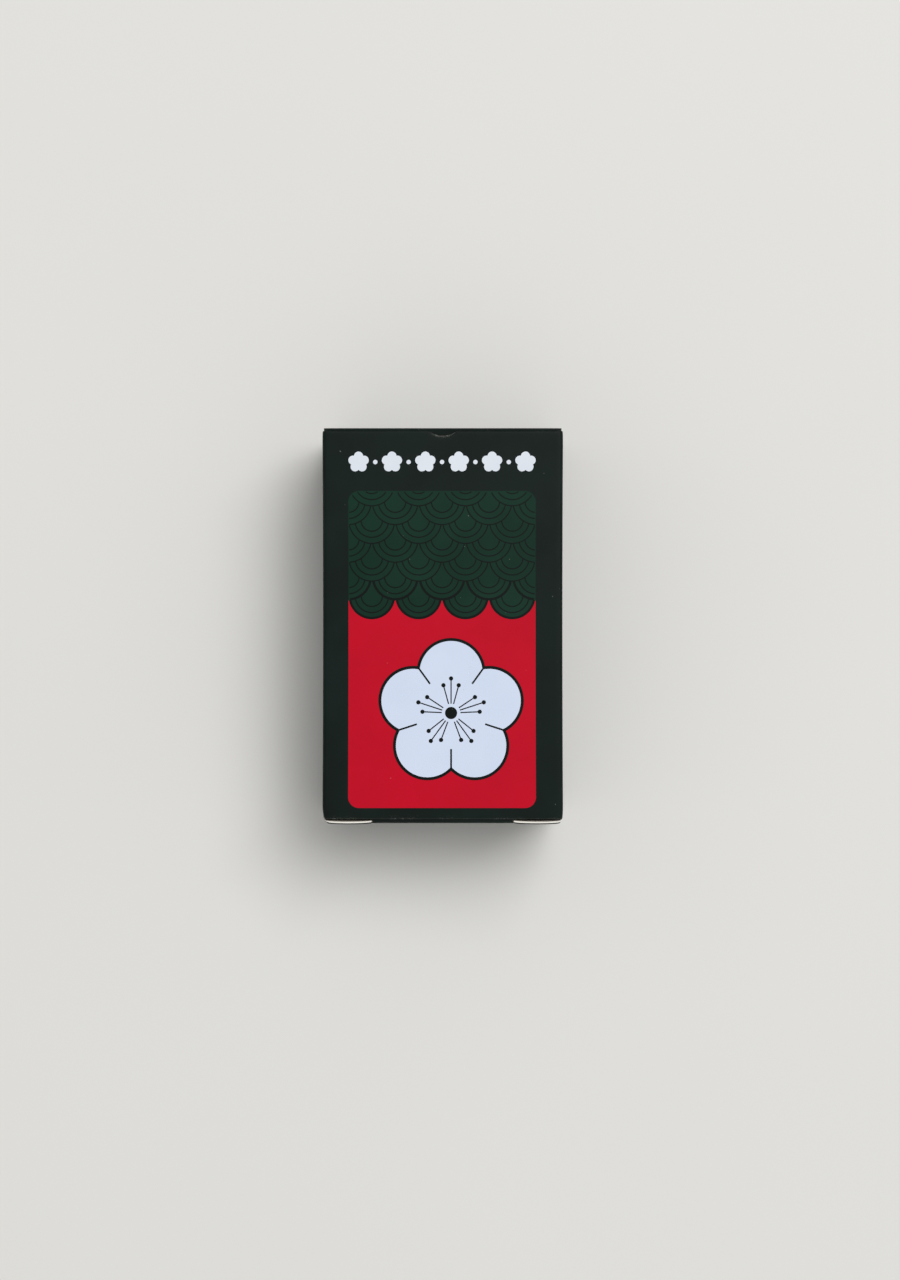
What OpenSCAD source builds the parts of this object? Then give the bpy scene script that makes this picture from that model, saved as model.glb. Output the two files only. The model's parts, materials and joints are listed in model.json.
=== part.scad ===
// Folded paperboard carton with a deck of 48 flower cards, lying on its back panel.
// X runs across the carton, Y towards its top end and Z up through the front panel.
// The origin is the middle of the back panel's outer face.

/* [Cards] */
// Width of one card
card_w = 32; // [28:0.5:40]
// Length of one card
card_l = 54; // [48:0.5:66]
// Thickness of one card
card_t = 0.4; // [0.3:0.05:0.6]
// Corner radius of one card
card_corner_r = 2; // [1:0.5:4]
// Air between one card and the next
card_gap = 0.03; // [0.02:0.01:0.06]

/* [Carton board] */
// Thickness of the board
board_t = 0.4; // [0.3:0.05:0.6]
// Inner radius of the four long folds
fold_inner_r = 0.15; // [0.05:0.05:0.4]
// Room on either side of the deck
side_play = 0.65; // [0.4:0.05:1.5]
// Room past either end of the deck
end_play = 0.45; // [0.3:0.05:1.5]
// Room between the top card and the tuck flaps
deck_clear = 0.3; // [0.2:0.05:1]
// Gap between boards that lie over each other
layer_gap = 0.05; // [0.03:0.01:0.1]
// Gap along a crease, between the board that stays and the one that swings
crease_gap = 0.05; // [0.03:0.01:0.1]
// How far the inner face of a lid stays back further from its tuck flap, which folds in over it
crease_bevel = 0.2; // [0.2:0.01:0.3]
// How far the lid and the closure stay back from the side panels' faces
lid_inset = 0.25; // [0.1:0.05:0.5]

/* [Glue flap] */
// Height of the glue flap up the right side panel
glue_flap_h = 9; // [6:0.5:14]
// How far either end of the glue flap stays back from the side panel's end
glue_flap_inset = 0.5; // [0.3:0.1:2]
// Slope of the glue flap's ends, in degrees
glue_flap_slope = 12; // [5:1:30]

/* [Tuck flaps] */
// Length of a tuck flap from its crease
tuck_l = 8; // [6:0.5:10]
// Radius of a tuck flap's free corners
tuck_corner_r = 3.2; // [2:0.1:3.5]
// Gap between a tuck flap's sides and the side panels
tuck_side_gap = 0.5; // [0.3:0.05:1]
// Gap between a tuck flap's crease and the front panel
tuck_gap = 0.2; // [0.15:0.05:0.6]
// Lean of a tuck flap down towards the deck, in degrees
tuck_lean = 4.5; // [4:0.5:8]

/* [Bottom lock] */
// Width of one shoulder beside the bottom tuck flap
shoulder_w = 6.8; // [4:0.1:9]
// Radius of a shoulder's outer corner
shoulder_corner_r = 0.6; // [0.3:0.1:0.9]
// Width of the slit between a shoulder and the tuck flap
slit_gap = 0.15; // [0.1:0.05:0.4]
// Gap between a shoulder's inner face and the ear of the tuck flap behind it
ear_gap = 0.3; // [0.3:0.05:0.6]
// Gap between the front panel and the bottom closure
lock_gap = 0.2; // [0.1:0.05:0.4]

/* [Dust flaps] */
// Length of a dust flap from its crease
dust_l = 13; // [9:0.5:13.5]
// Slope of a dust flap's edge next to the back panel, in degrees
dust_back_slope = 30; // [30:1:38]
// Slope of a dust flap's edge next to the front panel, in degrees
dust_front_slope = 8; // [3:1:12]
// Radius of a dust flap's free corners
dust_corner_r = 2.5; // [1:0.5:3.5]
// Gap between a dust flap and the tuck flap that passes over it
dust_clear = 0.3; // [0.3:0.05:1]

/* [Nail notch] */
// Width of the half-moon notch in the front panel's top edge
notch_w = 4; // [3:0.5:12]
// Depth of the notch
notch_d = 0.7; // [0.5:0.1:1.4]

/* [Hidden] */
$fn = 48;
overrun = 0.5;
board_colour = [0.13, 0.16, 0.15];
lining_colour = [0.78, 0.77, 0.73];
card_colour = [0.94, 0.92, 0.86];

// The deck: one card to each rank of each month, stacked with the first month lowest
MONTHS = [
    "pine", "plum", "cherry", "wisteria", "iris", "peony",
    "bush_clover", "pampas", "chrysanthemum", "maple", "willow", "paulownia"
];
CARDS_PER_MONTH = 4;
CARD_NODES = [
    for (month = MONTHS) for (rank = [1:CARDS_PER_MONTH]) str("card_", month, "_", rank)
];
CARTON_NODES = [
    "front_panel", "back_panel", "left_side_panel", "right_side_panel",
    "top_lid", "top_tuck_flap", "top_dust_flap_left", "top_dust_flap_right",
    "bottom_closure", "bottom_tuck_flap", "bottom_dust_flap_left", "bottom_dust_flap_right"
];
card_pitch = card_t + card_gap;
deck_h = len(CARD_NODES) * card_pitch - card_gap;
deck_z = board_t + layer_gap;
deck_x = -board_t / 2;

// A crease is a round edge, half the board thick, about the line that its board swings on
crease_r = board_t / 2;
crease_setback = crease_r + crease_gap;
fold_r = board_t + fold_inner_r;
fold_lap = fold_inner_r;

// Outer size: the right side is double, and each end has a lid over the dust flaps
carton_w = card_w + 2 * side_play + 3 * board_t;
carton_h = card_l + 2 * (end_play + 2 * board_t + layer_gap);
tuck_drop = tuck_l * sin(tuck_lean) + crease_r * cos(tuck_lean);
tuck_axis_z = deck_z + deck_h + deck_clear + tuck_drop;
carton_d = tuck_axis_z + crease_r + tuck_gap + board_t;

// Crease lines of the lid and closure, which are the same at both ends
lid_axis_y = carton_h / 2 - crease_r;
lid_axis_z = crease_r;
lid_w = carton_w - 2 * lid_inset;
lid_edge_z = tuck_axis_z - crease_setback;
shoulder_edge_z = carton_d;
lock_w = lid_w - 2 * shoulder_w;
tuck_w = carton_w - 2 * (board_t + tuck_side_gap);
lock_root_w = lock_w - 2 * slit_gap;
lock_root_l = board_t - crease_r + ear_gap;
tuck_round_share = 0.45;
tuck_round_r = min(tuck_corner_r, tuck_round_share * (tuck_l - lock_root_l));

// Crease lines of the dust flaps
dust_axis_x = carton_w / 2 - crease_r;
dust_axis_y = carton_h / 2 - board_t - layer_gap - crease_r;
dust_low_z = fold_r + layer_gap;
dust_high_z = tuck_axis_z - crease_r - dust_clear;

// Where the sleeve's panels end
front_top_y = carton_h / 2 - board_t - layer_gap;
front_bottom_y = -(carton_h / 2 - board_t - lock_gap);
back_end_y = lid_axis_y - crease_setback;
side_end_y = dust_axis_y - crease_setback;
flat_x = carton_w / 2 - fold_r;
seam_x = carton_w / 2 - board_t;
glue_end_y = side_end_y - glue_flap_inset;

function unit(v) = v / norm(v);

// Direction from corner i of an outline towards the corner before it, step -1, or after it, step 1
function towards(points, i, step) =
    unit(points[(i + step + len(points)) % len(points)] - points[i]);
// Half the angle between the two sides that meet at corner i
function half_angle(points, i) = acos(towards(points, i, -1) * towards(points, i, 1)) / 2;

// A convex outline whose corner i is rounded to radii[i], where 0 leaves it sharp
module rounded_outline(points, radii) {
    cut_points = [
        for (i = [0:len(points) - 1])
            for (step = radii[i] > 0 ? [-1, 1] : [0])
                points[i] + (step == 0 ? [0, 0] :
                    towards(points, i, step) * radii[i] / tan(half_angle(points, i)))
    ];
    polygon(cut_points);
    for (i = [0:len(points) - 1])
        if (radii[i] > 0)
            translate(points[i] + unit(towards(points, i, -1) + towards(points, i, 1))
                * radii[i] / sin(half_angle(points, i)))
                circle(radii[i]);
}

// A Y-Z outline carried across the carton, evenly about its middle
module across(length) {
    translate([-length / 2, 0, 0])
        rotate([90, 0, 90])
            linear_extrude(length)
                children();
}

// An X-Z outline carried along the carton from start_y to end_y
module along(start_y, end_y) {
    translate([0, end_y, 0])
        rotate([90, 0, 0])
            linear_extrude(end_y - start_y)
                children();
}

// A quarter of a long fold about its inner corner, between the flat of a panel and a wall on its left
module fold_quarter() {
    difference() {
        circle(fold_r);
        circle(fold_inner_r);
        translate([0, -fold_r - overrun])
            square(2 * (fold_r + overrun));
        translate([-fold_r - overrun, 0])
            square([fold_r + 2 * overrun, fold_r + overrun]);
    }
}

// The fold between the front panel and the left side panel
module front_fold() {
    translate([-flat_x, carton_d - fold_r])
        mirror([0, 1])
            fold_quarter();
}

// The fold between the back panel and the left side panel
module back_fold() {
    translate([-flat_x, fold_r])
        fold_quarter();
}

// A side wall on the left, from low_z up to the front fold, which runs on to the front panel's ends
module side_wall(low_z) {
    along(-side_end_y, side_end_y) {
        translate([-carton_w / 2, low_z])
            square([board_t, carton_d - fold_r - low_z]);
        front_fold();
        children();
    }
    along(front_bottom_y, front_top_y)
        front_fold();
}

module front_panel() {
    notch_r = (notch_w * notch_w / 4 + notch_d * notch_d) / (2 * notch_d);
    color(board_colour)
        translate([0, 0, carton_d - board_t])
            linear_extrude(board_t)
                difference() {
                    translate([-flat_x, front_bottom_y])
                        square([2 * flat_x, front_top_y - front_bottom_y]);
                    translate([0, front_top_y - notch_d + notch_r])
                        circle(notch_r);
                }
}

// The back panel's right edge folds up into the flap that is glued inside the right side panel
module back_panel() {
    glue_fold_x = seam_x - fold_r;
    glue_foot_z = fold_r + fold_lap;
    glue_high_z = fold_r + glue_flap_h;
    glue_top_y = glue_end_y - glue_flap_h * tan(glue_flap_slope);
    color(board_colour) {
        translate([-flat_x, -back_end_y, 0])
            cube([flat_x + glue_fold_x, 2 * back_end_y, board_t]);
        along(-glue_end_y, glue_end_y) {
            translate([glue_fold_x - fold_lap, 0])
                square([fold_lap, board_t]);
            translate([glue_fold_x, fold_r])
                mirror([1, 0])
                    fold_quarter();
            translate([seam_x - board_t, fold_r])
                square([board_t, fold_lap]);
        }
        translate([seam_x - board_t, 0, 0])
            rotate([90, 0, 90])
                linear_extrude(board_t)
                    polygon([
                        [-glue_end_y, fold_r], [glue_end_y, fold_r], [glue_end_y, glue_foot_z],
                        [glue_top_y, glue_high_z], [-glue_top_y, glue_high_z], [-glue_end_y, glue_foot_z]
                    ]);
    }
}

module left_side_panel() {
    color(board_colour) {
        side_wall(fold_r)
            back_fold();
        along(-back_end_y, back_end_y)
            back_fold();
    }
}

// The right side panel ends in a raw edge at the back, over the glue flap
module right_side_panel() {
    color(board_colour)
        mirror([1, 0, 0])
            side_wall(0);
}

// The round edge of a lid or closure on its crease at the back panel
module lid_crease() {
    across(lid_w)
        translate([lid_axis_y, lid_axis_z])
            circle(crease_r);
}

// An X-Z outline as a board in the plane of the top lid
module lid_board() {
    along(lid_axis_y - crease_r, lid_axis_y + crease_r)
        children();
}

// The room over a lid's free edge, which slopes down to its inner face so that the tuck flap can fold in
module crease_room(length) {
    slope = crease_bevel / board_t;
    inner_y = lid_axis_y - crease_r - overrun;
    outer_y = lid_axis_y + crease_r + overrun;
    across(length)
        polygon([
            [inner_y, lid_edge_z - crease_bevel - overrun * slope], [outer_y, lid_edge_z + overrun * slope],
            [outer_y, shoulder_edge_z + overrun], [inner_y, shoulder_edge_z + overrun]
        ]);
}

module top_lid() {
    color(board_colour)
        difference() {
            union() {
                lid_crease();
                lid_board()
                    translate([-lid_w / 2, lid_axis_z])
                        square([lid_w, tuck_axis_z - lid_axis_z]);
            }
            crease_room(lid_w + 2 * overrun);
        }
}

// The closure stands up beside its tuck flap in two shoulders, which lock it in the carton's mouth
module bottom_closure() {
    color(board_colour)
        mirror([0, 1, 0])
            difference() {
                union() {
                    lid_crease();
                    lid_board()
                        rounded_outline(
                            [
                                [-lid_w / 2, lid_axis_z], [lid_w / 2, lid_axis_z],
                                [lid_w / 2, shoulder_edge_z], [-lid_w / 2, shoulder_edge_z]
                            ],
                            [0, 0, shoulder_corner_r, shoulder_corner_r]
                        );
                }
                crease_room(lock_w);
            }
}

// A tuck flap at the top end: its creased root, and a tongue with round free corners from root_l on
module tuck_flap(root_w, root_l) {
    translate([0, lid_axis_y, tuck_axis_z])
        rotate([tuck_lean, 0, 0]) {
            across(root_w)
                circle(crease_r);
            translate([0, 0, -crease_r])
                linear_extrude(board_t) {
                    translate([-root_w / 2, -root_l])
                        square([root_w, root_l]);
                    rounded_outline(
                        [
                            [-tuck_w / 2, -root_l], [-tuck_w / 2, -tuck_l],
                            [tuck_w / 2, -tuck_l], [tuck_w / 2, -root_l]
                        ],
                        [0, tuck_round_r, tuck_round_r, 0]
                    );
                }
        }
}

module top_tuck_flap() {
    color(lining_colour)
        tuck_flap(tuck_w, crease_r);
}

module bottom_tuck_flap() {
    color(lining_colour)
        mirror([0, 1, 0])
            tuck_flap(lock_root_w, lock_root_l);
}

// The dust flap on the left at the top end
module dust_flap() {
    color(lining_colour)
        translate([-dust_axis_x, dust_axis_y, 0]) {
            translate([0, 0, dust_low_z])
                cylinder(r = crease_r, h = dust_high_z - dust_low_z);
            along(-crease_r, crease_r)
                rounded_outline(
                    [
                        [0, dust_low_z],
                        [dust_l, dust_low_z + dust_l * tan(dust_back_slope)],
                        [dust_l, dust_high_z - dust_l * tan(dust_front_slope)],
                        [0, dust_high_z]
                    ],
                    [0, dust_corner_r, dust_corner_r, 0]
                );
        }
}

module top_dust_flap_left() {
    dust_flap();
}

module top_dust_flap_right() {
    mirror([1, 0, 0])
        dust_flap();
}

module bottom_dust_flap_left() {
    mirror([0, 1, 0])
        dust_flap();
}

module bottom_dust_flap_right() {
    mirror([1, 0, 0])
        mirror([0, 1, 0])
            dust_flap();
}

// One card, counted from the bottom of the deck
module card(place) {
    color(card_colour)
        translate([deck_x, 0, deck_z + place * card_pitch])
            linear_extrude(card_t)
                rounded_outline(
                    [
                        [-card_w / 2, -card_l / 2], [card_w / 2, -card_l / 2],
                        [card_w / 2, card_l / 2], [-card_w / 2, card_l / 2]
                    ],
                    [for (i = [1:4]) card_corner_r]
                );
}

front_panel();
back_panel();
left_side_panel();
right_side_panel();
top_lid();
top_tuck_flap();
top_dust_flap_left();
top_dust_flap_right();
bottom_closure();
bottom_tuck_flap();
bottom_dust_flap_left();
bottom_dust_flap_right();
for (place = [0:len(CARD_NODES) - 1])
    card(place);
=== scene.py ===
"""Looks of a small printed tuck carton that lies on its back, with a deck of flower cards inside."""
import json
import math

import bmesh
import bpy
import numpy as np
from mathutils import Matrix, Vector


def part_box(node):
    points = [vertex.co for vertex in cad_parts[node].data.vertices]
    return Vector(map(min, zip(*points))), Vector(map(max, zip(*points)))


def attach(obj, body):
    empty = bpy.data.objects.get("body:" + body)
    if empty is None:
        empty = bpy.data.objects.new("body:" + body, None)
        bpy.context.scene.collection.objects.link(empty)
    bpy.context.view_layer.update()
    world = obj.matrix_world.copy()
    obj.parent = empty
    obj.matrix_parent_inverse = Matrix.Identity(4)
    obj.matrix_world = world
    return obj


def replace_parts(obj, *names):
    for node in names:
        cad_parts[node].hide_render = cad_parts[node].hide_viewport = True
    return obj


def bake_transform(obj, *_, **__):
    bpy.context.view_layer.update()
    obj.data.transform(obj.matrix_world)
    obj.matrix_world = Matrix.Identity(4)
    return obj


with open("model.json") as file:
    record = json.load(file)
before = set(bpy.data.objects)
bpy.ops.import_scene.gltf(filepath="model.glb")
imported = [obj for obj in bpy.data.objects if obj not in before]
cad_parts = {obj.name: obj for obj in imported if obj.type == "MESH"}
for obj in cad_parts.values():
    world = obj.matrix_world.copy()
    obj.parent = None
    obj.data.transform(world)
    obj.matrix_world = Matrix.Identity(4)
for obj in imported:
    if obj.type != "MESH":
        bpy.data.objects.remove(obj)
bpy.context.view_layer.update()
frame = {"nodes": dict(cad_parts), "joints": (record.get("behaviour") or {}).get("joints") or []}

# Sizes of the cut board that the solids' boxes do not give, in metres and radians
MM = 0.001
NOTCH_W = 4.0 * MM
NOTCH_D = 0.7 * MM
GLUE_INSET = 0.5 * MM
GLUE_SLOPE = math.radians(12)
SEAM_GAP = 0.01 * MM
CREASE_BEVEL = 0.2 * MM
TUCK_L = 8.0 * MM
TUCK_LEAN = math.radians(4.5)
TUCK_ROUND = 3.2 * MM
SHOULDER_W = 6.8 * MM
SHOULDER_ROUND = 0.6 * MM
SLIT = 0.15 * MM
EAR_GAP = 0.3 * MM
DUST_BACK_SLOPE = math.radians(30)
DUST_FRONT_SLOPE = math.radians(8)
DUST_ROUND = 2.5 * MM

# How the folded board gives: a crowned front, sides drawn in, bowed lids and shoulders that lean out
CROWN = 0.14 * MM
PINCH = 0.10 * MM
LID_BOW = 0.10 * MM
FLARE = 0.10 * MM
FLARE_H = 3.0 * MM

# How far the front's corners are drawn in, how far that reaches, and how much of it goes down as well
NIP_TOP = 0.05 * MM
NIP_LEFT = 0.55 * MM
NIP_RIGHT = 0.20 * MM
NIP_REACH = 2.6 * MM
NIP_DEPTH = 5.0 * MM
NIP_DROP = 0.5

# How cut edges roll in, and how far a cut rim and a folded one bulge, as shares of half the board
SLEEVE_ROLL = 0.07 * MM
SLEEVE_ROLL_W = 0.30 * MM
LID_ROLL = 0.13 * MM
LID_ROLL_W = 0.35 * MM
RAW = 0.12
BEAD = 1.0

# How much the print wears along folds and cut edges, and how far in from an edge; along the bottom end
# the paling is also a painted highlight of the rim, and round the notch the extra paling is a painted
# highlight
FOLD_WEAR = 0.12
CREASE_WEAR = 0.35
LID_WEAR = 0.5
FLAP_WEAR = 0.6
TOP_WEAR = 0.1
BOTTOM_WEAR_AND_HIGHLIGHT = 0.8
NOTCH_PAINTED_HIGHLIGHT = 1.5
END_WEAR_W = 0.4 * MM
FLAP_WEAR_W = 0.5 * MM

# Printed skins over the creases: height over the board, depth of the border in it, thickness and lap
SKIN_LIFT = 0.012 * MM
SKIN_ROOT = 0.012 * MM
SKIN_T = 0.010 * MM
SKIN_LAP = 0.6 * MM

# Slots of a board's finishes, and of the steps round its rim from the outer face to the inner one
OUTSIDE, INSIDE, EDGE = range(3)
RIM_STEPS = 6
CUT_PRINT_STEPS = 2
FOLD_PRINT_STEPS = 4
CUT = (OUTSIDE,) * CUT_PRINT_STEPS + (EDGE,) * (RIM_STEPS - CUT_PRINT_STEPS)
FOLDED = (OUTSIDE,) * FOLD_PRINT_STEPS + (INSIDE,) * (RIM_STEPS - FOLD_PRINT_STEPS)

# How finely surfaces are stepped: counts, lengths, and shares of a run
FRONT_STEPS = 60
NOTCH_STEPS = 32
BACK_STEPS = 40
GLUE_STEPS = 8
FOLD_STEPS = 8
ARC_STEPS = 12
LAP_STEPS = 3
LINE_STEPS = 60
BOARD_STEP = 0.5 * MM
LID_STEP = 0.8 * MM
FLAP_EDGE = 0.3 * MM
WALL_SHARE = 0.03
STEP_SHARE = 0.06
EDGE_SHARE = 0.03
LID_EDGE_SHARE = 0.02
CLOSER = np.array([0, 0.12, 0.28, 0.5, 0.75, 1.0])
SLIVER = 0.01 * MM
WELD = 1e-4 * MM
DECIMALS = 9
SHARP = math.radians(40)

# Directions and turns
WIDE, UP, DOWN = (1, 0, 0), (0, 0, 1), (0, 0, -1)
QUARTER = math.pi / 2
FULL = 2 * math.pi

# Sizes from the solids
joint_at = {joint["name"]: np.array(joint["pos_m"]) for joint in frame["joints"] if "pos_m" in joint}


def corners(node):
    """Lowest and highest corner of a solid, as arrays."""
    return [np.array(corner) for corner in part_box(node)]


front_low, front_high = corners("front_panel")
back_high = corners("back_panel")[1]
lid_high = corners("top_lid")[1]
BOARD = front_high[2] - front_low[2]
DEPTH = front_high[2]
FLAT_X = front_high[0]
HALF_W = -corners("left_side_panel")[0][0]
HALF_H = lid_high[1]
FOLD_R = HALF_W - FLAT_X
CREASE_R = BOARD / 2
LID_HALF_W = lid_high[0]
LID_LOW_Z = joint_at["top_lid_hinge"][2]
LID_CREASE_Z = lid_high[2]
LOCK_HALF = corners("bottom_closure")[1][0] - SHOULDER_W
SETBACK = joint_at["top_lid_hinge"][1] - back_high[1]
SIDE_END = joint_at["top_dust_crease_left"][1] - SETBACK
SEAM_X = HALF_W - BOARD - SEAM_GAP
GLUE_END = SIDE_END - GLUE_INSET
ROOT_L = joint_at["top_tuck_crease"][1] - front_high[1]
EAR_L = BOARD - CREASE_R + EAR_GAP


# Shares and curves
def evenly(steps):
    """Shares from 0 to 1 in even steps."""
    return np.linspace(0, 1, steps + 1)


def spaced(low, high, edge, step):
    """Places from low to high along the last axis, a step apart, closer within an edge's width of both."""
    count = max(2, int(np.ceil((np.max(high) - np.min(low)) / step)))
    low, high = np.asarray(low)[..., None], np.asarray(high)[..., None]
    between = low + edge + evenly(count)[1:-1] * (high - low - 2 * edge)
    return np.concatenate([low + edge * CLOSER, between, high - edge * CLOSER[::-1]], -1)


def near(gap, reach):
    """1 at an edge, falling to 0 at its reach by the square of what is left of the way."""
    return np.clip(1 - gap / reach, 0, 1) ** 2


def dome(share):
    """A parabola that is 1 in the middle, and 0 at a share of 1 to either side and beyond."""
    return np.clip(1 - share**2, 0, 1)


def rounded(edge, gap, radius):
    """An edge that draws in by a circle's arc where the gap to the edge beside it is under the radius."""
    return edge - radius + np.sqrt(radius**2 - np.clip(radius - gap, 0, radius) ** 2)


def unit(vectors):
    """Each vector over its own length."""
    return vectors / np.linalg.norm(vectors, axis=-1, keepdims=True)


# Meshes: a patch is its points, its quads, the material slot of each quad and how worn each point is,
# which on the sleeve also holds a painted highlight round the notch and along the bottom rim
def grid_faces(index):
    """Quads of a grid of point numbers, facing the way of the rows' direction crossed with the columns'."""
    return np.stack([index[:-1, :-1], index[1:, :-1], index[1:, 1:], index[:-1, 1:]], -1).reshape(-1, 4)


def board_patch(outer, inner, bulges=(RAW,) * 4, rims=(CUT,) * 4, faces=(OUTSIDE, INSIDE), wear=0.0):
    """A board between two grids of points: its outer face, its inner face and the rim between them.

    A rim point is the middle of the two faces, plus the cosine of an angle times half the thickness through
    the board, plus its sine times that half and the side's bulge outwards. Sides go first row, last row,
    first column, last column, and each has the slots of its rim from the outer face to the inner one.
    """
    rows, columns = outer.shape[:2]
    count = rows * columns
    index = np.arange(count).reshape(rows, columns)
    middle, half = (outer + inner) / 2, (outer - inner) / 2
    out = np.zeros_like(middle)
    out[0] += unit(middle[0] - middle[1]) * bulges[0]
    out[-1] += unit(middle[-1] - middle[-2]) * bulges[1]
    out[:, 0] += unit(middle[:, 0] - middle[:, 1]) * bulges[2]
    out[:, -1] += unit(middle[:, -1] - middle[:, -2]) * bulges[3]
    border = np.concatenate([index[:-1, 0], index[-1, :-1], index[:0:-1, -1], index[0, :0:-1]])
    through, outwards = half.reshape(-1, 3)[border], out.reshape(-1, 3)[border]
    outwards = outwards * np.linalg.norm(through, axis=-1, keepdims=True)
    angle = np.pi * evenly(len(rims[0]))[None, 1:-1, None]
    rim = middle.reshape(-1, 3)[border][:, None] + np.cos(angle) * through[:, None]
    rim = rim + np.sin(angle) * outwards[:, None]
    rim_index = 2 * count + np.arange(rim.shape[0] * rim.shape[1]).reshape(rim.shape[:2])
    rim_index = np.concatenate([border[:, None], rim_index, border[:, None] + count], 1)
    rim_index = np.concatenate([rim_index, rim_index[:1]])
    parts = [grid_faces(index), grid_faces(index + count)[:, ::-1], grid_faces(rim_index)[:, ::-1]]
    sides = np.repeat([rims[2], rims[1], rims[3], rims[0]], [rows - 1, columns - 1] * 2, axis=0)
    slots = [np.full(len(parts[0]), faces[0]), np.full(len(parts[1]), faces[1]), sides.ravel()]
    quads = np.concatenate(parts)
    facing = np.cross(outer[1:, :-1] - outer[:-1, :-1], outer[:-1, 1:] - outer[:-1, :-1])
    if (facing * half[:-1, :-1]).sum() < 0:
        quads = quads[:, ::-1]
    points = np.concatenate([outer.reshape(-1, 3), inner.reshape(-1, 3), rim.reshape(-1, 3)])
    worn_and_highlit = np.zeros(len(points))
    worn_and_highlit[:count] = np.broadcast_to(wear, (rows, columns)).ravel()
    return points, quads, np.concatenate(slots), worn_and_highlit


def film_patch(outer, inner, slot, wear=0.0):
    """A film of one finish between two grids of points, with a straight rim."""
    return board_patch(outer, inner, (0,) * 4, ((slot,),) * 4, (slot, slot), wear)


def placed(name, data):
    """A new object in the scene that shows its data."""
    made = bpy.data.objects.new(name, data)
    bpy.context.scene.collection.objects.link(made)
    return made


def piece(name, patches, materials):
    """Joins patches into one object, welds what coincides and shades smooth up to sharp edges."""
    points, quads, slots, wear = zip(*patches)
    starts = np.cumsum([0] + [len(part) for part in points])
    faces = np.concatenate([part + start for part, start in zip(quads, starts)])
    mesh = bpy.data.meshes.new(name)
    mesh.from_pydata(np.concatenate(points).tolist(), [], faces.tolist())
    mesh.polygons.foreach_set("material_index", np.concatenate(slots).astype(np.int32))
    # This attribute holds how worn each point is, and on the sleeve also the painted highlight round the
    # notch and along the bottom rim.
    worn_and_highlit = mesh.attributes.new("wear", "FLOAT", "POINT")
    worn_and_highlit.data.foreach_set("value", np.concatenate(wear).astype(np.float32))
    for material in materials:
        mesh.materials.append(material)
    weld = bmesh.new()
    weld.from_mesh(mesh)
    bmesh.ops.remove_doubles(weld, verts=weld.verts, dist=WELD)
    weld.to_mesh(mesh)
    weld.free()
    mesh.polygons.foreach_set("use_smooth", np.ones(len(mesh.polygons), bool))
    mesh.set_sharp_from_angle(angle=SHARP)
    return placed(name, mesh)


# Shader sums
MIX_FIRST, MIX_SECOND, MIX_COLOUR = 6, 7, 2
NOISE_ROUGHNESS = 0.55


def srgb(red, green, blue):
    """A colour as it is seen, from 0 to 255, as a linear one by the sRGB curve."""
    seen = np.array([red, green, blue]) / 255
    linear = np.where(seen <= 0.04045, seen / 12.92, ((seen + 0.055) / 1.055) ** 2.4)
    return (*linear.tolist(), 1.0)


class Value:
    """A node's output in a sum: each operator adds a Math node, and add() adds any other node."""

    def __init__(self, tree, socket=None):
        self.tree, self.socket = tree, socket

    def add(self, kind, inputs, output=0, **settings):
        """A node of a kind, with its settings set first and then the values or links of its sockets."""
        made = self.tree.nodes.new("ShaderNode" + kind)
        for name, setting in settings.items():
            setattr(made, name, setting)
        for place, value in inputs.items():
            if isinstance(value, Value):
                self.tree.links.new(value.socket, made.inputs[place])
            else:
                made.inputs[place].default_value = value
        return Value(self.tree, made.outputs[output])

    def calc(self, operation, other=0.0):
        """A Math node on this number and another one."""
        return self.add("Math", {0: self, 1: other}, operation=operation)

    def __add__(self, other):
        return self.calc("ADD", other)

    __radd__ = __add__

    def __sub__(self, other):
        return self.calc("SUBTRACT", other)

    def __rsub__(self, other):
        return self.add("Math", {0: other, 1: self}, operation="SUBTRACT")

    def __mul__(self, other):
        return self.calc("MULTIPLY", other)

    __rmul__ = __mul__

    def vector(self, operation, other=(0, 0, 0), output=0):
        """A Vector Math node on this vector and another one."""
        return self.add("VectorMath", {0: self, 1: other}, output=output, operation=operation)

    def length(self):
        """How long this vector is."""
        return self.vector("LENGTH", output="Value")

    def part(self, axis):
        """This vector along X, Y or Z, counted from 0."""
        return self.add("SeparateXYZ", {0: self}, output=axis)

    def noise(self, size, detail=2.0, stretch=(1, 1, 1)):
        """Noise from 0 to 1 at this place, with grains of a size in metres, drawn out along each axis."""
        place = self.vector("MULTIPLY", [1 / (size * times) for times in stretch])
        inputs = {"Vector": place, "Scale": 1.0, "Detail": detail, "Roughness": NOISE_ROUGHNESS}
        return place.add("TexNoise", inputs)

    def crossed(self, size, detail, stretch):
        """The mean of two noises at this place, one drawn out along X and one along Y."""
        across, along = self.noise(size, detail, (stretch, 1, 1)), self.noise(size, detail, (1, stretch, 1))
        return 0.5 * across + 0.5 * along

    def above(self, low, high):
        """0 below low, 1 above high and a smooth step between."""
        ends = {"Value": self, "From Min": low, "From Max": high}
        return self.add("MapRange", ends, interpolation_type="SMOOTHSTEP")

    def between(self, first, second):
        """The first colour where this is 0 and the second where it is 1."""
        inputs = {0: self, MIX_FIRST: first, MIX_SECOND: second}
        return self.add("Mix", inputs, output=MIX_COLOUR, data_type="RGBA")


def finish(name, paint, **constants):
    """A material: paint takes an object's coordinates and gives colour, roughness, relief and its depth."""
    material = bpy.data.materials.new(name)
    material.use_nodes = True
    tree = material.node_tree
    shader = tree.nodes["Principled BSDF"]
    place = Value(tree).add("TexCoord", {}, output="Object")
    colour, roughness, relief, depth = paint(place)
    bump = place.add("Bump", {"Height": relief, "Distance": depth, "Strength": 1.0})
    for socket, value in (("Base Color", colour), ("Roughness", roughness), ("Normal", bump)):
        tree.links.new(value.socket, shader.inputs[socket])
    for socket, value in constants.items():
        shader.inputs[socket.replace("_", " ")].default_value = value
    return material


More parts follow.
